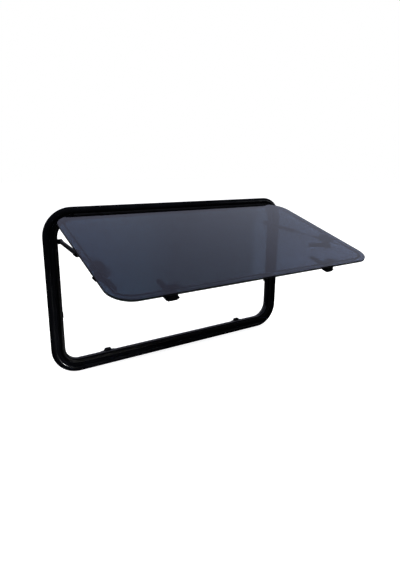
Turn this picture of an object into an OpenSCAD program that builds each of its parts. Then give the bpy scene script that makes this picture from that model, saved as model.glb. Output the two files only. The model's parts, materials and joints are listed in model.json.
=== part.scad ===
// Top-hung push-out caravan window, seen from outside along +Y, propped open on two telescopic stays.
// The origin lies on the flange's flat back face, at the middle of the bottom member.
// Window coordinates: x to the right, y up from the frame's middle, z out of the wall.

/* [Wall cut-out] */
// Width of the hole in the wall
cutout_w = 900; // [600:10:1300]
// Height of the hole in the wall
cutout_h = 500; // [400:10:700]
// Thickness of the wall
wall_t = 27; // [25:1:40]

/* [Frame profile] */
// How far the flange laps over the wall
flange_lap = 20; // [16:0.5:24]
// Outer corner radius of the frame
corner_r = 90; // [84:1:120]
// Width of the frame seen from the front
frame_face = 44; // [42:0.5:50]
// Width of the round outer bead
bead_w = 21; // [17:0.5:22]
// Height of the bead over the wall
bead_h = 9; // [7:0.5:11]
// Thickness of the flange and the shelf
shelf_t = 3; // [2.5:0.5:4]
// Radius of the ridge beside the groove
ridge_r = 2.5; // [2:0.25:3]
// Height of the ridge over the wall
ridge_h = 6; // [5:0.5:7]
// Thickness of the sleeve that lines the hole
sleeve_t = 3; // [2:0.5:3.5]
// Depth of the sleeve behind the wall's face
sleeve_depth = 22; // [18:1:24]
// Depth of the lip's inner leg
lip_depth = 9; // [7:0.5:10]

/* [Seal and clamp ring] */
// Outer radius of the seal's hollow bulb
bulb_r = 4; // [3:0.2:4.4]
// Wall of the bulb
bulb_wall = 1.1; // [0.8:0.1:1.4]
// Width of the seal's foot
seal_foot_w = 5; // [4:0.5:6]
// Width of the clamp ring's flange on the inner wall
clamp_flange = 12; // [10:1:19]
// Thickness of the clamp ring's flange
clamp_t = 3; // [2:0.5:4]
// Thickness of the clamp ring's body
clamp_body = 11; // [8:0.5:13]

/* [Glazing] */
// Gap between the frame's outer edge and the closed pane at the sides
sash_inset = 28; // [24:0.5:32]
// The same gap along the top, where the hinge lies
sash_inset_top = 32; // [30:0.5:36]
// The same gap along the bottom
sash_inset_bottom = 32; // [26:0.5:36]
// Outer face of the closed pane over the wall
sash_proud = 18; // [17:0.5:20]
// Thickness of the outer pane
outer_t = 3.2; // [2.8:0.1:4]
// Thickness of the formed inner pane
inner_t = 2.5; // [2:0.1:3]
// Thickness of the glue film between the panes
bond_t = 0.3; // [0.2:0.1:0.6]
// Width of the bonded rim
rim_w = 20; // [19:0.5:22]
// Width of the glue film along the rim's inner line
bond_w = 5; // [3:0.5:8]
// Air gap between the panes
air_gap = 13; // [12:0.5:14]
// Slope of the inner pane's side, sideways travel
pan_draft = 4; // [2:0.5:6]
// Angle the sash stands open
open_angle = 73.6; // [65:0.1:80]

/* [Hinge] */
// Distance of the hinge rails' ends from the frame's corners
hinge_inset = 10; // [4:1:120]
// Height of the hinge pin over the closed pane's top edge
hinge_above = 8; // [7:0.5:10]
// Depth of the hinge pin behind the pane's outer face
hinge_behind = 2; // [1:0.5:4]
// Radius of the hinge pin bead
hinge_pin_r = 1.9; // [1.6:0.1:2]
// Play between the pin and the hook
pin_play = 0.2; // [0.1:0.05:0.4]
// Wall of the hook that wraps the pin
hook_wall = 1.2; // [1:0.1:1.3]
// Thickness of the rails' webs
rail_t = 1.3; // [1:0.1:1.5]
// Width of the sash rail's foot behind the rim
rail_foot_w = 20; // [12:1:22]
// Length of each hinge end cap
cap_l = 5; // [3:0.5:8]

/* [Stays] */
// Stay's distance from the frame's outer edge
stay_inset = 58; // [56:0.5:62]
// Distance of the frame pivot down from the frame's top edge
stay_drop = 107; // [96:1:140]
// Depth of the frame pivot behind the wall's face
stay_frame_depth = 18; // [18:0.5:20]
// Distance of the stay's pivot down the sash
stay_sash_s = 282; // [240:1:300]
// Depth of that pivot under the pane's outer face
stay_sash_drop = 23; // [22:0.5:25]
// Outer radius of the stay's tube
tube_r = 6.5; // [5:0.25:7]
// Length of the stay's tube
tube_l = 157; // [120:1:180]
// Radius of the sliding rod
rod_r = 2.5; // [2:0.25:2.5]
// Length of the rod inside the tube
rod_inside = 40; // [20:1:90]
// Length of the rod's end fitting, up to its eye
rod_end_l = 32; // [20:1:40]
// Length of the locking collar
collar_l = 18; // [12:1:24]
// Radius of the pivot pins
stay_pin_r = 3; // [2.5:0.1:3.2]
// Width of the eyes on the pivot pins
eye_w = 8; // [6:0.5:9]
// Radius of the clamping knob
knob_r = 9; // [8:0.5:10]
// Thickness of the knob
knob_t = 8; // [6:0.5:8.5]

/* [Pads] */
// Length of the side pads
side_pad_l = 92; // [88:1:110]
// Width of the side pads, from the rim's inner line
side_pad_w = 25; // [24:0.5:30]
// Corner radius of the side pads
side_pad_r = 24; // [18:0.5:24]
// Length of the bottom pads
bottom_pad_l = 48; // [46:1:60]
// Width of the bottom pads, from the rim's inner line
bottom_pad_w = 26; // [25:0.5:30]

/* [Latches] */
// Distance of the bottom latches from the window's middle
latch_x = 278; // [120:1:300]
// Distance of the side latches below the stay's pivot
latch_gap = 28; // [28:0.5:34]
// Distance of a bottom latch's pivot from the sash's edge
bottom_latch_inset = 31.5; // [31:0.5:33]
// Distance of a side latch's pivot from the sash's edge
side_latch_inset = 33; // [33:0.5:34]
// Length of the latch's foot
foot_l = 30; // [28:0.5:32]
// Width of the latch's foot
foot_w = 17; // [16:0.5:18]
// Height of the foot on the pad
foot_h = 16; // [15:0.5:18]
// Width of the latch's hub over its two tongues
hub_w = 38; // [36:1:39]
// Height of the hub under its foot
hub_h = 18; // [17:0.5:20]
// Length of the lever from its pivot
lever_l = 76; // [60:1:85]
// Width of the lever at its tip
lever_w = 13; // [10:0.5:15]
// Thickness of the latch's tongues
tongue_t = 3; // [2.5:0.25:3.5]
// Height of the tongues under the hub's upper face
tongue_from = 10.5; // [9:0.5:11]
// Length of the striker along the frame
striker_l = 54; // [46:1:70]
// Height of the striker into the opening
striker_h = 15; // [14:0.5:17]
// Depth of the striker through the wall
striker_deep = 9; // [8:0.5:9]

/* [Hidden] */
$fn = 48;
// Seating depth of one piece against another, and the overshoot of a cutting solid
touch = 0.3;
cut = 1;

frame_w = cutout_w + 2 * flange_lap;
frame_h = cutout_h + 2 * flange_lap;
// The origin sits half way across the bottom flange
mid_z = frame_h / 2 - flange_lap / 2;

sash_w = frame_w - 2 * sash_inset;
sash_h = frame_h - sash_inset_top - sash_inset_bottom;
sash_r = corner_r - sash_inset;
sash_top = frame_h / 2 - sash_inset_top;
sash_mid = (sash_inset_bottom - sash_inset_top) / 2;
rim_front = sash_proud - outer_t - bond_t;
rim_back = rim_front - inner_t;
pan_floor = sash_proud - outer_t - air_gap;
pan_back = pan_floor - inner_t;

// Hinge: the frame's web rises to the pin at web_angle, and the hook's mouth clears it over the whole swing
pivot_y = sash_top + hinge_above;
pivot_z = sash_proud - hinge_behind;
hinge_l = frame_w - 2 * (corner_r + hinge_inset);
hook_r = hinge_pin_r + pin_play + hook_wall;
web_angle = 225;
web_reach = 2.4;
mouth_spare = 21;
frame_foot_w = 5;
frame_foot_over = 1;

// Places across the frame's face, as distances in from its outer edge
lip_x = frame_face;
seal_mid = frame_face - 8;
clamp_in = flange_lap + sleeve_t + touch + clamp_body;

// Stay, as [height, depth] in window coordinates, with the sash's pivot first closed and then swung open
stay_x = frame_w / 2 - stay_inset;
stay_from = [frame_h / 2 - stay_drop, -stay_frame_depth];
sash_pivot = [sash_top - stay_sash_s, sash_proud - stay_sash_drop];
from_hinge = sash_pivot - [pivot_y, pivot_z];
stay_to = [pivot_y + from_hinge[0] * cos(open_angle) + from_hinge[1] * sin(open_angle),
           pivot_z - from_hinge[0] * sin(open_angle) + from_hinge[1] * cos(open_angle)];
stay_l = norm(stay_to - stay_from);
stay_tilt = atan2(stay_from[0] - stay_to[0], stay_to[1] - stay_from[1]);
eye_side = eye_w / 2 + touch;
eye_r = tube_r + 1.5;
ear_t = 2.5;
plate_t = 2.5;

// Latches, their pads, and the strikers that they hook into
latch_s = stay_sash_s + latch_gap;
side_pad_s = stay_sash_s + latch_gap + 4;
hub_back = 7;
hub_front = 11;
tongue_z = rim_back - foot_h - tongue_from - tongue_t / 2;
slot_w = tongue_t + 1;

frame_paint = [0.07, 0.07, 0.08];
black_rubber = [0.05, 0.05, 0.05];
black_plastic = [0.09, 0.09, 0.1];
smoked = [0.28, 0.31, 0.4, 0.75];
steel = [0.6, 0.6, 0.62];

// Turns window coordinates into the part's own frame
module window()
    translate([0, 0, mid_z])
        rotate([90, 0, 0])
            children();

// Swings the closed sash open about the hinge pin
module opened()
    translate([0, pivot_y, pivot_z])
        rotate([-open_angle, 0, 0])
            translate([0, -pivot_y, -pivot_z])
                children();

// Draws the right-hand side, or its mirror image on the left
module on_side(side)
    mirror([side == "left" ? 1 : 0, 0, 0])
        children();

// Profile written as distance in from the outer edge, turned into distance from the corner's centre
module from_edge(r)
    translate([r, 0])
        mirror([1, 0])
            children();

// Sweeps a profile round a rectangle with round corners
module ring_sweep(w, h, r)
    for (turn = [0, 90, 180, 270]) {
        across = turn % 180 == 0 ? w : h;
        along = turn % 180 == 0 ? h : w;
        rotate([0, 0, turn])
            translate([across / 2 - r, along / 2 - r, 0]) {
                rotate_extrude(angle = 90)
                    from_edge(r)
                        children();
                rotate([90, 0, 0])
                    linear_extrude(along - 2 * r)
                        from_edge(r)
                            children();
            }
    }

// Rectangle with round corners, whose radius stays under half of each side
module rounded_rect(w, h, r) {
    square([w - 2 * r, h], center = true);
    square([w, h - 2 * r], center = true);
    for (sx = [-1, 1])
        for (sy = [-1, 1])
            translate([sx * (w / 2 - r), sy * (h / 2 - r)])
                circle(r);
}

// Extrudes a profile drawn in y and z along x
module along_x(l)
    rotate([90, 0, 90])
        linear_extrude(l, center = true)
            children();

// Flat trapezoid standing on the x axis
module trapezoid(bottom, top, h)
    polygon([[-bottom / 2, 0], [bottom / 2, 0], [top / 2, h], [-top / 2, h]]);

// Bead with a round crest over a thin upright edge
module bead_profile() {
    edge_t = 2;
    crest_fn = 96;
    rise = bead_h - edge_t;
    crest_r = (pow(bead_w / 2, 2) + pow(rise, 2)) / (2 * rise);
    intersection() {
        translate([bead_w / 2, bead_h - crest_r])
            circle(crest_r, $fn = crest_fn);
        square([bead_w, bead_h]);
    }
}

module frame_profile() {
    seal_room = 1.5;
    ridge_u = seal_mid - seal_foot_w / 2 - ridge_r - seal_room;
    lip_r = 1.5;
    rib = 1;
    bead_profile();
    square([lip_x, shelf_t]);
    translate([ridge_u, ridge_h - ridge_r])
        circle(ridge_r);
    translate([ridge_u - ridge_r, 0])
        square([2 * ridge_r, ridge_h - ridge_r]);
    for (side = [-1, 1])
        translate([seal_mid + side * (seal_foot_w / 2 + touch + rib / 2) - rib / 2, 0])
            square([rib, shelf_t + rib]);
    translate([lip_x - lip_r, shelf_t])
        circle(lip_r);
    translate([lip_x - 2 * lip_r, -lip_depth])
        square([2 * lip_r, shelf_t + lip_depth]);
    translate([flange_lap, -sleeve_depth])
        square([sleeve_t, sleeve_depth + shelf_t]);
}

module outer_frame() color(frame_paint) window()
    ring_sweep(frame_w, frame_h, corner_r)
        frame_profile();

// Ring that grips the wall from inside, with a body that lines the hole
module clamp_profile() {
    wall = 2;
    lip_room = 3;
    body_u = flange_lap + sleeve_t + touch;
    front = lip_depth + lip_room;
    translate([body_u, -front - wall])
        square([clamp_body, wall]);
    translate([clamp_in - wall, -wall_t - clamp_t])
        square([wall, wall_t + clamp_t - front]);
    translate([flange_lap - clamp_flange, -wall_t - clamp_t])
        square([clamp_in - flange_lap + clamp_flange, clamp_t]);
}

module clamp_ring() color(black_plastic) window()
    ring_sweep(frame_w, frame_h, corner_r)
        clamp_profile();

// Hollow bulb on a foot that grips between two ribs of the frame
module seal_profile() {
    foot_t = 1.5;
    bulb_mid = shelf_t + foot_t + bulb_r - bulb_wall / 2;
    difference() {
        union() {
            translate([seal_mid - seal_foot_w / 2, shelf_t])
                square([seal_foot_w, foot_t]);
            translate([seal_mid, bulb_mid])
                circle(bulb_r);
        }
        translate([seal_mid, bulb_mid])
            circle(bulb_r - bulb_wall);
    }
}

module sash_seal() color(black_rubber) window()
    ring_sweep(frame_w, frame_h, corner_r)
        seal_profile();

// Places a profile written as distance down and distance out from the hinge pin
module from_pin()
    translate([pivot_y, pivot_z])
        mirror([1, 0])
            children();

// Pin bead on a slanting web, a leg and a foot that stands on the frame's flange
module frame_rail_profile() {
    circle(hinge_pin_r);
    rotate(web_angle)
        translate([0, -rail_t / 2])
            square([web_reach * sqrt(2) + rail_t / 2, rail_t]);
    translate([-web_reach - rail_t / 2, shelf_t - pivot_z])
        square([rail_t, pivot_z - shelf_t - web_reach]);
    translate([-web_reach - frame_foot_over, shelf_t - pivot_z])
        square([frame_foot_w, rail_t]);
}

module frame_hinge_rail() color(frame_paint) window()
    along_x(hinge_l)
        from_pin()
            frame_rail_profile();

// Hook round the pin, a web to the pane's top edge, and an angle that grips the edge and the rim's back
module sash_rail_profile() {
    mouth = [web_angle - open_angle - mouth_spare, web_angle - open_angle / 2, web_angle + mouth_spare];
    reach = 3 * hook_r;
    low = rim_back - rail_t - pivot_z;
    difference() {
        union() {
            circle(hook_r);
            translate([0, -rail_t / 2])
                square([hinge_above, rail_t]);
        }
        circle(hook_r - hook_wall);
        polygon([[0, 0], for (a = mouth) reach * [cos(a), sin(a)]]);
    }
    translate([hinge_above - rail_t, low])
        square([rail_t, rail_t / 2 - low]);
    translate([hinge_above - rail_t, low])
        square([rail_foot_w, rail_t]);
}

module sash_hinge_rail() color(frame_paint) window() opened()
    along_x(hinge_l)
        from_pin()
            sash_rail_profile();

// Plug that closes the rails' ends, with its own leg down to the flange
module hinge_cap(side) color(black_plastic) window() on_side(side)
    translate([hinge_l / 2 + touch + cap_l / 2, 0, 0])
        along_x(cap_l)
            from_pin() {
                circle(hook_r);
                translate([-web_reach - frame_foot_over, shelf_t - pivot_z])
                    square([frame_foot_w, pivot_z - shelf_t]);
            }

module outer_pane() color(smoked) window() opened()
    translate([0, sash_mid, sash_proud - outer_t])
        linear_extrude(outer_t)
            rounded_rect(sash_w, sash_h, sash_r);

// Tray with sloping sides, from the rim's front down to a floor
module pan_form(shrink, low) {
    w = sash_w - 2 * (rim_w + shrink);
    h = sash_h - 2 * (rim_w + shrink);
    r = sash_r - rim_w - shrink;
    translate([0, sash_mid, 0]) {
        ring_sweep(w, h, r)
            polygon([[0, rim_front], [0, rim_back], [pan_draft, low], [r, low], [r, rim_front]]);
        translate([0, 0, low])
            linear_extrude(rim_front - low)
                square([w - 2 * r, h - 2 * r], center = true);
    }
}

// Recesses in the tray where it comes up to the outer pane, for the stays and latches
module pads(grow, top)
    for (side = ["left", "right"])
        on_side(side)
            translate([0, 0, pan_back - cut])
                linear_extrude(top - pan_back + cut) {
                    translate([sash_w / 2 - rim_w, sash_top - side_pad_s])
                        rounded_rect(2 * (side_pad_w + grow), side_pad_l + 2 * grow, side_pad_r + grow);
                    translate([latch_x, sash_mid - sash_h / 2 + rim_w])
                        rounded_rect(bottom_pad_l + 2 * grow, 2 * (bottom_pad_w + grow),
                                     bottom_pad_l / 2 - touch + grow);
                }

// Rim, and a tray whose sloping sides and floor keep the air gap behind the outer pane
module inner_pane() color(smoked) window() opened() {
    lap = 1;
    translate([0, sash_mid, rim_back])
        linear_extrude(inner_t)
            difference() {
                rounded_rect(sash_w, sash_h, sash_r);
                rounded_rect(sash_w - 2 * (rim_w + lap), sash_h - 2 * (rim_w + lap), sash_r - rim_w - lap);
            }
    difference() {
        pan_form(0, pan_back);
        pads(0, rim_back);
        difference() {
            pan_form(inner_t, pan_floor);
            pads(inner_t, rim_front + cut);
        }
    }
}

module edge_bond() color(black_rubber) window() opened()
    translate([0, sash_mid, 0])
        ring_sweep(sash_w, sash_h, sash_r)
            translate([rim_w - bond_w, rim_front])
                square([bond_w, bond_t]);

// Along the right-hand stay: z runs from the frame's pivot to the sash's
module along_stay(side)
    window()
        on_side(side)
            translate([stay_x, stay_from[0], stay_from[1]])
                rotate([stay_tilt, 0, 0])
                    children();

// Cylinder along x from one place to another
module pin_x(from, to, r)
    translate([from, 0, 0])
        rotate([0, 90, 0])
            cylinder(h = to - from, r = r);

// Plate on the clamp ring's inner face, with a stepped boss and the pin that carries the tube's eye
module stay_bracket(side) color(black_plastic) window() on_side(side)
    translate([stay_x, stay_from[0], stay_from[1]]) {
        seat = frame_w / 2 - clamp_in - stay_x;
        plate_below = 34;
        plate_above = 8;
        plate_deep = 14;
        plate_back = 2;
        head_t = 2.5;
        translate([seat, 0, 0])
            rotate([0, -90, 0])
                linear_extrude(plate_t)
                    translate([-plate_back, (plate_above - plate_below) / 2])
                        rounded_rect(plate_deep, plate_above + plate_below, plate_deep / 2 - 1);
        pin_x(eye_side, seat, eye_r);
        pin_x(-eye_side, seat, stay_pin_r);
        pin_x(-eye_side - head_t, -eye_side, stay_pin_r + 2);
    }

// Tube with a flat eye at its upper end and the rod's bore up from its lower end
module stay_tube(side) color(black_plastic) along_stay(side)
    difference() {
        union() {
            cylinder(h = tube_l, r = tube_r);
            pin_x(-eye_w / 2, eye_w / 2, eye_r);
        }
        pin_x(-eye_w, eye_w, stay_pin_r + touch / 2);
        for (flat = [-1, 1])
            translate([flat * (eye_w / 2 + tube_r), 0, 0])
                cube([2 * tube_r, 4 * tube_r, 3 * tube_r], center = true);
        translate([0, 0, tube_l - rod_inside - rod_end_l])
            cylinder(h = rod_inside + rod_end_l + cut, r = rod_r + touch);
    }

// Locking collar, with a groove round it, that slips over the tube's end and carries the rod
module stay_collar(side) color(black_plastic) along_stay(side) {
    collar_r = tube_r + 2;
    chamfer = 2;
    groove = 0.8;
    groove_w = 1.5;
    translate([0, 0, tube_l - collar_l / 2])
        rotate_extrude()
            difference() {
                polygon([[rod_r + touch, collar_l / 2 + touch], [tube_r + touch / 2, collar_l / 2 + touch],
                         [tube_r + touch / 2, 0], [collar_r, 0], [collar_r, collar_l - chamfer],
                         [collar_r - chamfer, collar_l], [rod_r + touch, collar_l]]);
                for (at = [collar_l / 4, collar_l / 2])
                    translate([collar_r - groove, at])
                        square([2 * groove, groove_w]);
            }
}

// Thin rod with a thicker end fitting and its eye on the sash's pin
module stay_rod(side) color(steel) along_stay(side)
    difference() {
        union() {
            translate([0, 0, tube_l - rod_inside])
                cylinder(h = stay_l - tube_l + rod_inside, r = rod_r);
            translate([0, 0, stay_l - rod_end_l])
                cylinder(h = rod_end_l, r = eye_w / 2);
            translate([0, 0, stay_l])
                pin_x(-eye_w / 2, eye_w / 2, eye_r);
        }
        translate([0, 0, stay_l])
            pin_x(-eye_w, eye_w, stay_pin_r + touch / 2);
    }

// In closed sash coordinates, around the stay's pivot
module at_sash_pivot(side)
    window()
        opened()
            on_side(side)
                translate([stay_x, sash_pivot[0], sash_pivot[1]])
                    children();

// Round knob with finger flutes, screwed on the pivot pin's outer end
module stay_knob(side) color(black_plastic) at_sash_pivot(side) {
    flutes = 8;
    flute_r = 2.2;
    translate([eye_side, 0, 0])
        rotate([0, 90, 0])
            linear_extrude(knob_t)
                difference() {
                    circle(knob_r);
                    for (turn = [0:360 / flutes:359])
                        rotate(turn)
                            translate([knob_r + 1, 0])
                                circle(flute_r);
                }
}

// Ear with the stay's pin on a long plate that also carries the side latch
module sash_bracket(side) color(black_plastic) at_sash_pivot(side) {
    ear_w = 10;
    up = rim_back - sash_pivot[1];
    plate_l = 48;
    plate_w = 19;
    plate_x = sash_w / 2 - side_latch_inset - stay_x;
    ear_x = -eye_side - ear_t;
    ear_foot_drop = 3;
    pin_x(ear_x, eye_side, stay_pin_r);
    pin_x(ear_x, -eye_side, ear_w / 2);
    translate([ear_x, -ear_w / 2, 0])
        cube([ear_t, ear_w, up]);
    translate([ear_x, -ear_w / 2 - ear_foot_drop, up - plate_t])
        cube([ear_w, ear_w, plate_t]);
    translate([plate_x, -plate_l / 2, up - plate_t])
        linear_extrude(plate_t)
            rounded_rect(plate_w, plate_l, plate_w / 2 - touch);
}

// Tells the four latch places apart
function is_bottom(place) = place == "bottom_left" || place == "bottom_right";
function is_left(place) = place == "bottom_left" || place == "side_left";

// Puts what lies along a member at its place round the window, with y into the opening
module round_window(place, across, up, z)
    translate([(is_left(place) ? -1 : 1) * across, up, z])
        rotate([0, 0, is_bottom(place) ? 0 : is_left(place) ? -90 : 90])
            children();

// Latch coordinates: x along the edge, y towards the edge, z towards the room, from the pad's back
module at_latch(place)
    window()
        opened()
            round_window(place, is_bottom(place) ? latch_x : sash_w / 2 - side_latch_inset,
                         is_bottom(place) ? sash_mid - sash_h / 2 + bottom_latch_inset : sash_top - latch_s,
                         rim_back)
                rotate([180, 0, 0])
                    children();

// Oval foot with a tapered pedestal, and the pivot pin with its head
module latch_foot(place) color(black_plastic) at_latch(place) {
    seat = is_bottom(place) ? 0 : plate_t;
    foot_t = 3;
    pedestal_r = 7;
    taper = 1.5;
    head_t = 2;
    translate([0, 0, seat]) {
        linear_extrude(foot_t)
            rounded_rect(foot_l, foot_w, foot_w / 2 - touch);
        cylinder(h = foot_h - seat, r1 = pedestal_r + taper, r2 = pedestal_r);
    }
    translate([0, 0, foot_h])
        cylinder(h = hub_h + touch, r = stay_pin_r);
    translate([0, 0, foot_h + hub_h + touch])
        cylinder(h = head_t, r = stay_pin_r + 2);
}

// Angle that a lever stands at: the left side one points down the sash, the others to the pane's middle
function lever_turn(place) = place == "side_left" ? 82
                             : place == "side_right" ? 9
                             : place == "bottom_right" ? -4
                             : 0;

// Hub with a tongue at each end that a quarter turn brings over the frame, narrowing towards the room
module hub_profile() {
    neck_w = hub_w - 12;
    end_w = hub_w - 14;
    polygon([[-neck_w / 2, 0], [neck_w / 2, 0], [neck_w / 2, tongue_from], [hub_w / 2, tongue_from],
             [hub_w / 2, tongue_from + tongue_t], [end_w / 2, hub_h], [-end_w / 2, hub_h],
             [-hub_w / 2, tongue_from + tongue_t], [-hub_w / 2, tongue_from], [-neck_w / 2, tongue_from]]);
}

// Hub on the foot's pin, with a lever that has a round tip and a raised grip
module latch_lever(place) color(black_plastic) at_latch(place) {
    lever_from = 6;
    lever_t = 6.5;
    grip_t = 2;
    grip_step = 5;
    root_w = 20;
    rotate([0, 0, lever_turn(place)])
        translate([0, 0, foot_h + touch / 2])
            difference() {
                union() {
                    translate([0, hub_back, 0])
                        rotate([90, 0, 0])
                            linear_extrude(hub_front + hub_back)
                                hub_profile();
                    translate([0, 0, lever_from])
                        linear_extrude(lever_t)
                            lever_outline(root_w, lever_w);
                    translate([0, 0, lever_from + lever_t])
                        linear_extrude(grip_t)
                            lever_outline(root_w - grip_step, lever_w - grip_step);
                }
                translate([0, 0, -cut])
                    cylinder(h = hub_h + 2 * cut, r = stay_pin_r + touch / 2);
            }
}

// Lever's outline from its pivot to its round tip
module lever_outline(root_w, tip_w) {
    tip_y = lever_w / 2 - lever_l;
    translate([0, tip_y])
        trapezoid(tip_w, root_w, -tip_y);
    translate([0, tip_y])
        circle(tip_w / 2);
}

// Catch on the clamp ring's inner face: wings for its screws and a crown with a slot for a tongue
module striker(place) color(black_plastic) window()
    round_window(place, is_bottom(place) ? latch_x : frame_w / 2 - clamp_in,
                 is_bottom(place) ? clamp_in - frame_h / 2 : sash_top - latch_s, 0) {
        wing_h = 6.5;
        wing_slope = 3;
        crown_w = 28;
        crown_top = 18;
        crown_h = striker_h - wing_h;
        translate([0, 0, tongue_z - striker_deep / 2])
            difference() {
                linear_extrude(striker_deep) {
                    trapezoid(striker_l, striker_l - 2 * wing_slope, wing_h);
                    translate([0, wing_h])
                        trapezoid(crown_w, crown_top, crown_h);
                }
                translate([-crown_w / 2, wing_h, (striker_deep - slot_w) / 2])
                    cube([crown_w, crown_h + cut, slot_w]);
            }
    }

outer_frame();
clamp_ring();
sash_seal();
frame_hinge_rail();
sash_hinge_rail();
hinge_cap("left");  // hinge_cap_left
hinge_cap("right");  // hinge_cap_right
outer_pane();
inner_pane();
edge_bond();
stay_bracket("left");  // stay_bracket_left
stay_bracket("right");  // stay_bracket_right
stay_tube("left");  // stay_tube_left
stay_tube("right");  // stay_tube_right
stay_collar("left");  // stay_collar_left
stay_collar("right");  // stay_collar_right
stay_rod("left");  // stay_rod_left
stay_rod("right");  // stay_rod_right
stay_knob("left");  // stay_knob_left
stay_knob("right");  // stay_knob_right
sash_bracket("left");  // sash_bracket_left
sash_bracket("right");  // sash_bracket_right
latch_foot("bottom_left");  // latch_foot_bottom_left
latch_foot("bottom_right");  // latch_foot_bottom_right
latch_foot("side_left");  // latch_foot_side_left
latch_foot("side_right");  // latch_foot_side_right
latch_lever("bottom_left");  // latch_lever_bottom_left
latch_lever("bottom_right");  // latch_lever_bottom_right
latch_lever("side_left");  // latch_lever_side_left
latch_lever("side_right");  // latch_lever_side_right
striker("bottom_left");  // striker_bottom_left
striker("bottom_right");  // striker_bottom_right
striker("side_left");  // striker_side_left
striker("side_right");  // striker_side_right
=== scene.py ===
"""Caravan window propped open on two telescopic stays: finishes, small fastenings, studio and camera."""

import json
import math

import bmesh
import bpy
from mathutils import Matrix, Vector


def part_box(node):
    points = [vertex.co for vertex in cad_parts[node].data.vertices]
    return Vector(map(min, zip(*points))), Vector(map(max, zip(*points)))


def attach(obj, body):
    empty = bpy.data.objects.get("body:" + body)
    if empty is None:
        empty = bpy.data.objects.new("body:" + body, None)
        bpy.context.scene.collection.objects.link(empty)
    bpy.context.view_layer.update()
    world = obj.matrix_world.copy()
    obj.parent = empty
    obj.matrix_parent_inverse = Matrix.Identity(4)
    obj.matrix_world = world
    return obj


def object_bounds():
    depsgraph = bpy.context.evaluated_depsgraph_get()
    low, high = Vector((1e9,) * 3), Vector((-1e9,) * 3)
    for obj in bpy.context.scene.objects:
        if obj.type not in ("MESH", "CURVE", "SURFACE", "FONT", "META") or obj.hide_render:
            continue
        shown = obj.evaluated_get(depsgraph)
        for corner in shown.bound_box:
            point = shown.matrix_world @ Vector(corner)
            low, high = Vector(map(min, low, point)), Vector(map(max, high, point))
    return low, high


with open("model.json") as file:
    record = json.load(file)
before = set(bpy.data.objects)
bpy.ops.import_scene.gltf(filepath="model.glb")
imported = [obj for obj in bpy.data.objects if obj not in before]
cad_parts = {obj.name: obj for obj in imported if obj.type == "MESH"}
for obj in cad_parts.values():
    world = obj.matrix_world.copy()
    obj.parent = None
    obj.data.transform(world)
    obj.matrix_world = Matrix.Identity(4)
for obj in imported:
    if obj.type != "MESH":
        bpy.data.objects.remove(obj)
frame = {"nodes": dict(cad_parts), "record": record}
cad_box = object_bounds()
nodes = frame["nodes"]
scene = bpy.context.scene

PHOTO_W, PHOTO_H = 400, 570

# Camera, from a fit to the straight edges of the frame and the sash
CAMERA_PLACE = Vector((-0.7629, -1.3189, 0.6694))
CAMERA_YAW = math.radians(33.651)
CAMERA_PITCH = math.radians(14.323)
CAMERA_ROLL = math.radians(0.798)
FOCAL_PX = 431.8
PRINCIPAL_PX = (206.14, 271.14)
SENSOR_MM = 36

# Sizes of the window, from the frame itself, and its outer corner radius
frame_low, frame_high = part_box("outer_frame")
frame_w = frame_high.x - frame_low.x
frame_h = frame_high.z - frame_low.z
frame_mid = (frame_low + frame_high) / 2
CORNER_R = 0.090

# The open pane's own directions: out through its outer face, and down the sash
outer_mesh = nodes["outer_pane"].data
widest_face = max(outer_mesh.polygons, key=lambda face: face.area)
pane_out = widest_face.normal.copy()
if pane_out.z < 0:
    pane_out.negate()
pane_down = Vector((1, 0, 0)).cross(pane_out)
if pane_down.z > 0:
    pane_down.negate()

# Level of the outer pane's outer face, and a depth just past the back of the rim
pane_level = max(corner.co.dot(pane_out) for corner in outer_mesh.vertices)
RIM_DEPTH = 0.0062

# Part of a noise's range over which a finish goes from its low value to its high one
NOISE_SPAN = (0.35, 0.65)

# Colours of the world, by what they serve: matte faces, mirror images, and the view through the panes
BLACK = (0, 0, 0)
WHITE = (1, 1, 1)
ROOM_LIGHT = (0.6, 0.6, 0.62)
MIRRORED_FRONT = (0.012, 0.012, 0.018)
MIRRORED_BY_HEIGHT = ((0.45, (0.55, 0.57, 0.71)), (0.72, (0.295, 0.30, 0.45)))
MIRRORED_BY_SIDE = ((0.35, WHITE), (0.47, (0.87, 0.87, 0.87)))
FRONT_TO_BEHIND = ((0, BLACK), (0.3, WHITE))
LEVEL_TO_STEEP = ((0.4, BLACK), (0.6, WHITE))
SEEN_THROUGH_STEEPLY = (0.7, 0.75, 0.75)
SEEN_THROUGH = (
    (0.30, (0.31, 0.46, 0.48)),
    (0.42, (0.36, 0.50, 0.44)),
    (0.50, (0.30, 0.34, 0.27)),
    (0.60, (0.26, 0.32, 0.26)),
    (0.638, (0.27, 0.34, 0.28)),
    (0.648, (0.62, 0.72, 0.64)),
    (0.70, (0.76, 0.80, 0.76)),
    (0.78, WHITE),
)


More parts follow.
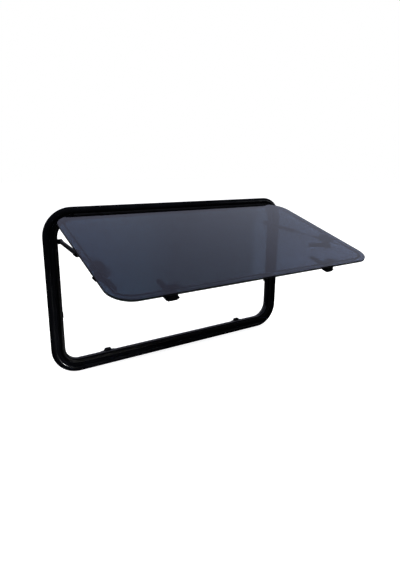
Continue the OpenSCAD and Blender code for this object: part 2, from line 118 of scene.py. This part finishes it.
def make_camera():
    data = bpy.data.cameras.new("photo_camera")
    camera = bpy.data.objects.new("photo_camera", data)
    scene.collection.objects.link(camera)
    forward = Vector((math.sin(CAMERA_YAW) * math.cos(CAMERA_PITCH),
                      math.cos(CAMERA_YAW) * math.cos(CAMERA_PITCH),
                      -math.sin(CAMERA_PITCH)))
    level = Vector((math.cos(CAMERA_YAW), -math.sin(CAMERA_YAW), 0))
    up = level.cross(forward)
    right = level * math.cos(CAMERA_ROLL) + up * math.sin(CAMERA_ROLL)
    above = up * math.cos(CAMERA_ROLL) - level * math.sin(CAMERA_ROLL)
    camera.matrix_world = Matrix((
        (right.x, above.x, -forward.x, CAMERA_PLACE.x),
        (right.y, above.y, -forward.y, CAMERA_PLACE.y),
        (right.z, above.z, -forward.z, CAMERA_PLACE.z),
        (0, 0, 0, 1),
    ))
    data.sensor_width = SENSOR_MM
    data.lens = FOCAL_PX * SENSOR_MM / PHOTO_H
    data.shift_x = (PHOTO_W / 2 - PRINCIPAL_PX[0]) / PHOTO_H
    data.shift_y = (PRINCIPAL_PX[1] - PHOTO_H / 2) / PHOTO_H
    data.clip_start = 0.01
    data.clip_end = 100
    scene.camera = camera


class NodeTree:
    """Adds and joins the nodes of a material or of the world."""

    def __init__(self, tree):
        self.tree = tree

    def found(self, kind):
        return next(node for node in self.tree.nodes if node.type == kind)

    def node(self, kind, **inputs):
        made = self.tree.nodes.new(kind)
        for socket, value in inputs.items():
            made.inputs[socket.replace("_", " ")].default_value = value
        return made

    def link(self, output, target):
        self.tree.links.new(output, target)

    def fill(self, socket, value):
        """Gives a socket a number, a colour or another node's output."""
        if isinstance(value, (int, float)):
            socket.default_value = value
        elif isinstance(value, tuple):
            socket.default_value = (*value, 1)
        else:
            self.link(value, socket)

    def sums(self, operation, *values):
        """Arithmetic on values, each a number or another node's output."""
        made = self.node("ShaderNodeMath")
        made.operation = operation
        for socket, value in zip(made.inputs, values):
            self.fill(socket, value)
        return made.outputs["Value"]

    def vectors(self, operation, vector, fixed=(0, 0, 0)):
        """Arithmetic on another node's vector and a fixed one."""
        made = self.node("ShaderNodeVectorMath")
        made.operation = operation
        self.link(vector, made.inputs[0])
        made.inputs[1].default_value = fixed
        return made.outputs

    def parts(self, vector):
        made = self.node("ShaderNodeSeparateXYZ")
        self.link(vector, made.inputs["Vector"])
        return made.outputs

    def ramp(self, value, stops):
        """A colour from stops, each a position and its colour."""
        made = self.node("ShaderNodeValToRGB")
        held = made.color_ramp.elements
        while len(held) < len(stops):
            held.new(0.5)
        for element, (position, colour) in zip(held, stops):
            element.position = position
            element.color = (*colour, 1)
        self.link(value, made.inputs["Fac"])
        return made.outputs["Color"]

    def blend(self, factor, first, second, how="MIX"):
        """The first colour where the factor is 0, the second where it is 1."""
        made = self.node("ShaderNodeMix")
        made.data_type = "RGBA"
        made.blend_type = how
        self.fill(made.inputs["Factor"], factor)
        self.fill(made.inputs[6], first)
        self.fill(made.inputs[7], second)
        return made.outputs[2]


class Finish(NodeTree):
    """A material with one Principled shader and helpers for what feeds it."""

    def __init__(self, name, **sockets):
        self.material = bpy.data.materials.new(name)
        self.material.use_nodes = True
        super().__init__(self.material.node_tree)
        self.shader = self.found("BSDF_PRINCIPLED")
        for socket, value in sockets.items():
            self.shader.inputs[socket.replace("_", " ")].default_value = value

    def along(self, direction, what="Object"):
        """How far the object coordinates, or the normal, reach along a fixed direction."""
        where = self.node("ShaderNodeTexCoord")
        return self.vectors("DOT_PRODUCT", where.outputs[what], direction)["Value"]

    def noise(self, scale, detail=3, stretch=(1, 1, 1)):
        """Noise in object coordinates that are multiplied by stretch."""
        where = self.node("ShaderNodeTexCoord")
        mapping = self.node("ShaderNodeMapping", Scale=stretch)
        made = self.node("ShaderNodeTexNoise", Scale=scale, Detail=detail)
        self.link(where.outputs["Object"], mapping.inputs["Vector"])
        self.link(mapping.outputs["Vector"], made.inputs["Vector"])
        return made.outputs["Fac"]

    def shade(self, noise, low, high):
        """A colour between low and high."""
        low_end, high_end = NOISE_SPAN
        return self.ramp(noise, ((low_end, low), (high_end, high)))

    def level(self, noise, low, high):
        """A number between low and high."""
        low_end, high_end = NOISE_SPAN
        made = self.node("ShaderNodeMapRange", From_Min=low_end, From_Max=high_end, To_Min=low, To_Max=high)
        self.link(noise, made.inputs["Value"])
        return made.outputs["Result"]

    def feed(self, target, output):
        self.link(output, self.shader.inputs[target])

    def colour(self, noise, low, high):
        self.feed("Base Color", self.shade(noise, low, high))

    def roughness(self, noise, low, high):
        self.feed("Roughness", self.level(noise, low, high))

    def bump(self, height, strength, distance):
        made = self.node("ShaderNodeBump", Strength=strength, Distance=distance)
        self.link(height, made.inputs["Height"])
        self.feed("Normal", made.outputs["Normal"])


def powder_coat():
    """Satin black powder coat on the aluminium frame: faint orange peel and a little unevenness in gloss."""
    finish = Finish("powder_coat", Specular_IOR_Level=0.12)
    finish.colour(finish.noise(14), (0.0011, 0.0012, 0.0018), (0.0024, 0.0026, 0.0038))
    finish.roughness(finish.noise(30, detail=4), 0.20, 0.26)
    finish.bump(finish.noise(60, detail=2), strength=0.03, distance=0.0005)
    return finish.material


def moulded_plastic():
    """Black glass-filled nylon: fine spark-eroded grain."""
    finish = Finish("moulded_plastic", Specular_IOR_Level=0.06)
    finish.colour(finish.noise(60), (0.0022, 0.0022, 0.0027), (0.0048, 0.0048, 0.0056))
    finish.roughness(finish.noise(180, detail=4), 0.38, 0.52)
    finish.bump(finish.noise(2600), strength=0.25, distance=0.0002)
    return finish.material


def ring_plastic():
    """Black moulding of the clamp ring, a touch greyer and coarser than the latches."""
    finish = Finish("ring_plastic", Specular_IOR_Level=0.4)
    finish.colour(finish.noise(9), (0.004, 0.004, 0.0046), (0.0075, 0.0075, 0.0085))
    finish.roughness(finish.noise(120, detail=4), 0.46, 0.6)
    finish.bump(finish.noise(1500), strength=0.3, distance=0.0003)
    return finish.material


def seal_rubber():
    """Matte black sponge rubber with a faint bloom."""
    finish = Finish("seal_rubber", Specular_IOR_Level=0.15)
    finish.colour(finish.noise(40, detail=4), (0.0010, 0.0010, 0.0011), (0.0026, 0.0026, 0.0029))
    finish.roughness(finish.noise(90), 0.65, 0.8)
    finish.bump(finish.noise(1800, detail=4), strength=0.35, distance=0.0003)
    return finish.material


def anodised():
    """Black anodised hinge section with faint drawing lines along its length."""
    finish = Finish("anodised", Metallic=0.85)
    finish.colour(finish.noise(30), (0.009, 0.009, 0.010), (0.015, 0.015, 0.017))
    finish.roughness(finish.noise(60, stretch=(0.05, 6, 6)), 0.32, 0.46)
    finish.bump(finish.noise(700, detail=2, stretch=(0.02, 1, 1)), strength=0.15, distance=0.0002)
    return finish.material


def glue_film():
    """Black glue between the panes, uneven in tone and gloss."""
    finish = Finish("glue_film", Specular_IOR_Level=0.4)
    finish.colour(finish.noise(500, detail=4), (0.004, 0.004, 0.006), (0.010, 0.010, 0.014))
    finish.roughness(finish.noise(300), 0.4, 0.6)
    return finish.material


def pane_edge(finish):
    """1 on the sawn edges of the rim, 0 on the faces of the panes."""
    facing_limit = 0.5
    facing = finish.sums("ABSOLUTE", finish.along(pane_out, "Normal"))
    side_on = finish.sums("LESS_THAN", facing, facing_limit)
    in_rim = finish.sums("GREATER_THAN", finish.along(pane_out), pane_level - RIM_DEPTH)
    return finish.sums("MULTIPLY", side_on, in_rim)


def acrylic(name, thin, thick):
    """Polished acrylic sheet, tinted between two colours, with sawn edges that look black."""
    edge_black = (0.002, 0.002, 0.003)
    edge_roughness = 0.3
    finish = Finish(name, IOR=1.49, Transmission_Weight=1.0)
    edge = pane_edge(finish)
    tint = finish.shade(finish.noise(3), thin, thick)
    finish.feed("Base Color", finish.blend(edge, tint, edge_black))
    finish.feed("Transmission Weight", finish.sums("SUBTRACT", 1, edge))
    gloss = finish.level(finish.noise(25, detail=4), 0.0, 0.003)
    finish.feed("Roughness", finish.sums("ADD", gloss, finish.sums("MULTIPLY", edge, edge_roughness)))
    finish.bump(finish.noise(6, detail=1), strength=0.01, distance=0.001)
    return finish.material


def drawn_steel():
    """Drawn stainless rod with faint streaks in its gloss."""
    finish = Finish("drawn_steel", Metallic=1.0)
    finish.colour(finish.noise(50), (0.30, 0.30, 0.32), (0.40, 0.40, 0.42))
    finish.roughness(finish.noise(400, stretch=(1, 0.1, 1)), 0.22, 0.36)
    finish.bump(finish.noise(1500, detail=2), strength=0.08, distance=0.0001)
    return finish.material


def zinc_screw():
    """Black zinc on the screws and rivets, unevenly rubbed."""
    finish = Finish("zinc_screw", Metallic=0.9)
    finish.colour(finish.noise(700), (0.02, 0.02, 0.022), (0.055, 0.055, 0.06))
    finish.roughness(finish.noise(900), 0.3, 0.5)
    finish.bump(finish.noise(3000, detail=2), strength=0.2, distance=0.0001)
    return finish.material


FINISHES = {
    "frame": powder_coat(),
    "clamp_ring": ring_plastic(),
    "seal": seal_rubber(),
    "hinge": anodised(),
    "outer_glazing": acrylic("smoked_acrylic", (0.0395, 0.0535, 0.093), (0.0425, 0.0575, 0.099)),
    "inner_glazing": acrylic("formed_acrylic", (0.86, 0.89, 0.92), (0.90, 0.92, 0.95)),
    "bond": glue_film(),
    "hardware": moulded_plastic(),
    "rod": drawn_steel(),
}
SCREW_FINISH = zinc_screw()


def finish_nodes():
    """Gives every CAD node the finish of its slot in the record."""
    for row in frame["record"]["subparts"]:
        for held in nodes[row["node"]].material_slots:
            held.material = FINISHES[row["material_slot"]]


def add_piece(name, mesh, material):
    """Object made from a bmesh, with one material."""
    data = bpy.data.meshes.new(name)
    mesh.to_mesh(data)
    mesh.free()
    data.materials.append(material)
    piece = bpy.data.objects.new(name, data)
    scene.collection.objects.link(piece)
    return piece


def ring_points(mesh, count, radius, height):
    """Verts round a circle, where the radius may be a function of the angle."""
    made = []
    for step in range(count):
        angle = math.tau * step / count
        far = radius(angle) if callable(radius) else radius
        made.append(mesh.verts.new((far * math.cos(angle), far * math.sin(angle), height)))
    return made


def join_rings(mesh, lower, upper):
    for step in range(len(lower)):
        after = (step + 1) % len(lower)
        mesh.faces.new((lower[step], lower[after], upper[after], upper[step]))


def add_screw(mesh, place, axis, head_r, head_h, cross):
    """Domed head on its seat, with a cross recess or, on a rivet, a small dimple."""
    around = 24
    seat_sink = 0.0002
    # Rings of the dome, as shares of the head's radius and of its height
    dome = ((1, 0.35), (0.93, 0.72), (0.74, 0.95))
    recess_deep = 0.6 * head_h
    recess_r = 0.62 * head_r
    waist = 0.34
    taper = 0.7
    dimple_r = 0.3 * head_r
    dimple_low_r = 0.2 * head_r

    def cross_r(angle):
        lobe = abs(math.cos(2 * angle)) ** 3
        return recess_r * (waist + (1 - waist) * lobe)

    def cross_low_r(angle):
        return taper * cross_r(angle)

    rings = [ring_points(mesh, around, head_r, -seat_sink)]
    for wide, high in dome:
        rings.append(ring_points(mesh, around, wide * head_r, high * head_h))
    rings.append(ring_points(mesh, around, cross_r if cross else dimple_r, head_h))
    rings.append(ring_points(mesh, around, cross_low_r if cross else dimple_low_r, head_h - recess_deep))
    for lower, upper in zip(rings, rings[1:]):
        join_rings(mesh, lower, upper)
    mesh.faces.new(rings[-1])
    mesh.faces.new(list(reversed(rings[0])))
    turn = Vector((0, 0, 1)).rotation_difference(axis).to_matrix().to_4x4()
    made = [vert for ring in rings for vert in ring]
    bmesh.ops.transform(mesh, matrix=Matrix.Translation(place) @ turn, verts=made)


def fastenings(name, seats, head_r, head_h, cross=True):
    """One piece with a screw or rivet on each seat, which is a place and an axis."""
    mesh = bmesh.new()
    for place, axis in seats:
        add_screw(mesh, place, axis, head_r, head_h, cross)
    piece = add_piece(name, mesh, SCREW_FINISH)
    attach(piece, "root")


def reach(node, direction):
    """Lowest and highest reach of a node along a direction."""
    distances = [corner.co.dot(direction) for corner in nodes[node].data.vertices]
    return min(distances), max(distances)


def in_sash(across, down, out):
    """Place from distances along the pane's own directions."""
    return Vector((1, 0, 0)) * across + pane_down * down + pane_out * out


def clamp_ring_screws():
    """Screws in the clamp ring's flange, on the room side, over the web of its body."""
    inset = 0.0278
    pitch = 0.15
    seats = []
    room_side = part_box("clamp_ring")[1].y
    half_w = frame_w / 2 - inset
    half_h = frame_h / 2 - inset
    free_w = frame_w / 2 - CORNER_R
    free_h = frame_h / 2 - CORNER_R
    for half, free, upright in ((half_h, free_w, False), (half_w, free_h, True)):
        count = round(2 * free / pitch)
        for step in range(count + 1):
            run = -free + 2 * free * step / count
            for side in (-1, 1):
                x, z = (side * half, run) if upright else (run, side * half)
                seats.append((Vector((x, room_side, frame_mid.z + z)), Vector((0, 1, 0))))
    fastenings("clamp_ring_screws", seats, head_r=0.0032, head_h=0.0018)


def latch_screws():
    """Two screws in the foot of each latch, beside its pedestal."""
    foot_t = 0.003
    offset = 0.0115
    seats = []
    for place in ("bottom_left", "bottom_right", "side_left", "side_right"):
        node = "latch_foot_" + place
        left, right = reach(node, Vector((1, 0, 0)))
        high, low = reach(node, pane_down)
        seat = reach(node, pane_out)[1] - foot_t
        for side in (-offset, offset):
            across, down = (side, 0) if place.startswith("bottom") else (0, side)
            centre = in_sash((left + right) / 2 + across, (high + low) / 2 + down, seat)
            seats.append((centre, -pane_out))
    fastenings("latch_screws", seats, head_r=0.0024, head_h=0.0015)


def striker_screws():
    """One screw in each wing of the four strikers, driven into the clamp ring."""
    wing_x = 0.0185
    wing_h = 0.0065
    seats = []
    for place in ("bottom_left", "bottom_right", "side_left", "side_right"):
        low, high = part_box("striker_" + place)
        mid = (low + high) / 2
        for side in (-wing_x, wing_x):
            if place.startswith("bottom"):
                seats.append((Vector((mid.x + side, mid.y, low.z + wing_h)), Vector((0, 0, 1))))
                continue
            inward = -1 if mid.x > 0 else 1
            foot = high.x if mid.x > 0 else low.x
            seats.append((Vector((foot + inward * wing_h, mid.y, mid.z + side)), Vector((inward, 0, 0))))
    fastenings("striker_screws", seats, head_r=0.0026, head_h=0.0015)


def stay_bracket_screws():
    """Two screws under the boss of each stay's bracket."""
    plate_t = 0.0025
    half_plate = 0.007
    below_top = (0.022, 0.034)
    seats = []
    for side, inward in (("left", 1), ("right", -1)):
        low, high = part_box("stay_bracket_" + side)
        wall = low.x if inward > 0 else high.x
        for drop in below_top:
            place = Vector((wall + inward * plate_t, high.y - half_plate, high.z - drop))
            seats.append((place, Vector((inward, 0, 0))))
    fastenings("stay_bracket_screws", seats, head_r=0.0028, head_h=0.0016)


def hinge_rivets():
    """Rivets through the sash rail's foot into the pane's rim."""
    pitch = 0.07
    from_foot_end = 0.0064
    left, right = reach("sash_hinge_rail", Vector((1, 0, 0)))
    under = reach("sash_hinge_rail", pane_out)[0]
    foot_end = reach("sash_hinge_rail", pane_down)[1]
    count = round((right - left) / pitch)
    seats = []
    for step in range(count):
        across = left + (right - left) * (step + 0.5) / count
        seats.append((in_sash(across, foot_end - from_foot_end, under), -pane_out))
    fastenings("hinge_rivets", seats, head_r=0.0026, head_h=0.0013, cross=False)


def rim_glue():
    """Thin bead of glue that closes the joint between the two panes all round the rim."""
    corner_r = 0.062
    corner_steps = 12
    bead_w = 0.0012
    edge_gap = 0.0001
    across_half = reach("outer_pane", Vector((1, 0, 0)))[1]
    top, bottom = reach("outer_pane", pane_down)
    top_level = reach("outer_pane", pane_out)[0]
    low_level = reach("inner_pane", pane_out)[1]

    def loop(mesh, inset, level):
        """Verts round the sash, at a distance inside its edge."""
        made = []
        half_w = across_half - corner_r
        half_h = (bottom - top) / 2 - corner_r
        radius = corner_r - inset
        for corner, (side, low) in enumerate(((1, 1), (-1, 1), (-1, -1), (1, -1))):
            for step in range(corner_steps + 1):
                angle = (corner + step / corner_steps) * math.pi / 2
                across = side * half_w + radius * math.cos(angle)
                down = (top + bottom) / 2 + low * half_h + radius * math.sin(angle)
                made.append(mesh.verts.new(in_sash(across, down, level)))
        return made

    mesh = bmesh.new()
    rings = [
        loop(mesh, edge_gap, top_level),
        loop(mesh, edge_gap, low_level),
        loop(mesh, edge_gap + bead_w, low_level),
        loop(mesh, edge_gap + bead_w, top_level),
    ]
    for lower, upper in zip(rings, rings[1:] + rings[:1]):
        join_rings(mesh, lower, upper)
    bmesh.ops.recalc_face_normals(mesh, faces=mesh.faces)
    piece = add_piece("rim_glue", mesh, FINISHES["bond"])
    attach(piece, "root")


def make_world():
    """World colour by kind of ray: white to the camera, a studio with a dark front in mirror images."""
    world = bpy.data.worlds.new("studio")
    scene.world = world
    world.use_nodes = True
    sky = NodeTree(world.node_tree)
    path = sky.node("ShaderNodeLightPath").outputs
    direction = sky.node("ShaderNodeTexCoord").outputs["Generated"]
    flat = sky.vectors("MULTIPLY", direction, (1, 1, 0))["Vector"]
    compass = sky.vectors("NORMALIZE", flat)["Vector"]

    upward = sky.ramp(sky.parts(direction)["Z"], MIRRORED_BY_HEIGHT)
    sideways = sky.ramp(sky.parts(direction)["X"], MIRRORED_BY_SIDE)
    behind = sky.ramp(sky.parts(direction)["Y"], FRONT_TO_BEHIND)
    mirrored = sky.blend(behind, MIRRORED_FRONT, sky.blend(1, upward, sideways, "MULTIPLY"))
    tilt = sky.sums("ABSOLUTE", sky.parts(direction)["Z"])
    steep = sky.ramp(tilt, LEVEL_TO_STEEP)
    level = sky.ramp(sky.parts(compass)["X"], SEEN_THROUGH)
    through = sky.blend(steep, level, SEEN_THROUGH_STEEPLY)
    colour = sky.blend(path["Is Glossy Ray"], ROOM_LIGHT, mirrored)
    colour = sky.blend(path["Is Transmission Ray"], colour, through)
    colour = sky.blend(path["Is Camera Ray"], colour, WHITE)
    sky.link(colour, sky.found("BACKGROUND").inputs["Color"])


def make_floor():
    """Pale floor: white to the camera but for a soft shadow, dark in what the object mirrors."""
    half_size = 12
    under_object = 0.0005
    painted = (0.5, 0.5, 0.5)
    mirrored = (0.01, 0.01, 0.01)
    glow = 0.88
    mesh = bpy.data.meshes.new("floor")
    corners = [(x * half_size, y * half_size, 0) for x, y in ((-1, -1), (1, -1), (1, 1), (-1, 1))]
    mesh.from_pydata(corners, [], [(0, 1, 2, 3)])
    floor = bpy.data.objects.new("floor", mesh)
    floor.location.z = cad_box[0].z - under_object
    scene.collection.objects.link(floor)
    finish = Finish("floor_paint", Roughness=0.9, Specular_IOR_Level=0.1)
    path = finish.node("ShaderNodeLightPath").outputs
    finish.feed("Base Color", finish.blend(path["Is Glossy Ray"], painted, mirrored))
    finish.fill(finish.shader.inputs["Emission Color"], WHITE)
    finish.feed("Emission Strength", finish.sums("MULTIPLY", path["Is Camera Ray"], glow))
    clear = finish.node("ShaderNodeBsdfTransparent")
    mix = finish.node("ShaderNodeMixShader")
    finish.link(path["Is Transmission Ray"], mix.inputs["Fac"])
    finish.link(finish.shader.outputs["BSDF"], mix.inputs[1])
    finish.link(clear.outputs["BSDF"], mix.inputs[2])
    finish.link(mix.outputs["Shader"], finish.found("OUTPUT_MATERIAL").inputs["Surface"])
    mesh.materials.append(finish.material)


def add_light(name, kind, place, aim, power, colour=WHITE):
    """Light that is turned to its aim and that the camera can't see."""
    data = bpy.data.lights.new(name, kind)
    data.energy = power
    data.color = colour
    light = bpy.data.objects.new(name, data)
    light.location = place
    light.rotation_euler = (Vector(aim) - Vector(place)).to_track_quat("-Z", "Y").to_euler()
    light.visible_camera = False
    scene.collection.objects.link(light)
    return light


def softbox(name, place, aim, size, power, colour=WHITE, mirrored=True):
    """Rectangular light, which shows in mirror images or doesn't."""
    light = add_light(name, "AREA", place, aim, power, colour)
    light.data.shape = "RECTANGLE"
    light.data.size, light.data.size_y = size
    light.visible_glossy = mirrored


def spotlight(name, place, aim, radius, cone, power):
    """Soft spot with a narrow cone, in degrees."""
    light = add_light(name, "SPOT", place, aim, power)
    light.data.shadow_soft_size = radius
    light.data.spot_size = math.radians(cone)
    light.data.spot_blend = 1.0


def make_lights():
    """Three softboxes, and a narrow spot for the glints in the frame's lower left corner."""
    middle = (0, 0, frame_mid.z)
    lower_left = (-0.448, 0, 0.03)
    softbox("overhead", (-0.4, -0.8, 2.6), middle, size=(2.4, 1.6), power=70, mirrored=False)
    spotlight("low_right", (1.28, -2.0, 0.05), lower_left, radius=0.21, cone=7.5, power=1000)
    softbox("far_right", (5.0, -4.6, 1.0), middle, size=(1.0, 1.0), power=25, colour=(0.9, 0.92, 1.0))
    softbox("rear_left", (-1.5, 2.2, 1.6), middle, size=(1.4, 1.4), power=25, colour=(0.97, 0.98, 1.0),
            mirrored=False)


make_camera()
finish_nodes()
clamp_ring_screws()
latch_screws()
striker_screws()
stay_bracket_screws()
hinge_rivets()
rim_glue()
make_world()
make_floor()
make_lights()
scene.view_settings.view_transform = "Standard"

bpy.context.view_layer.update()
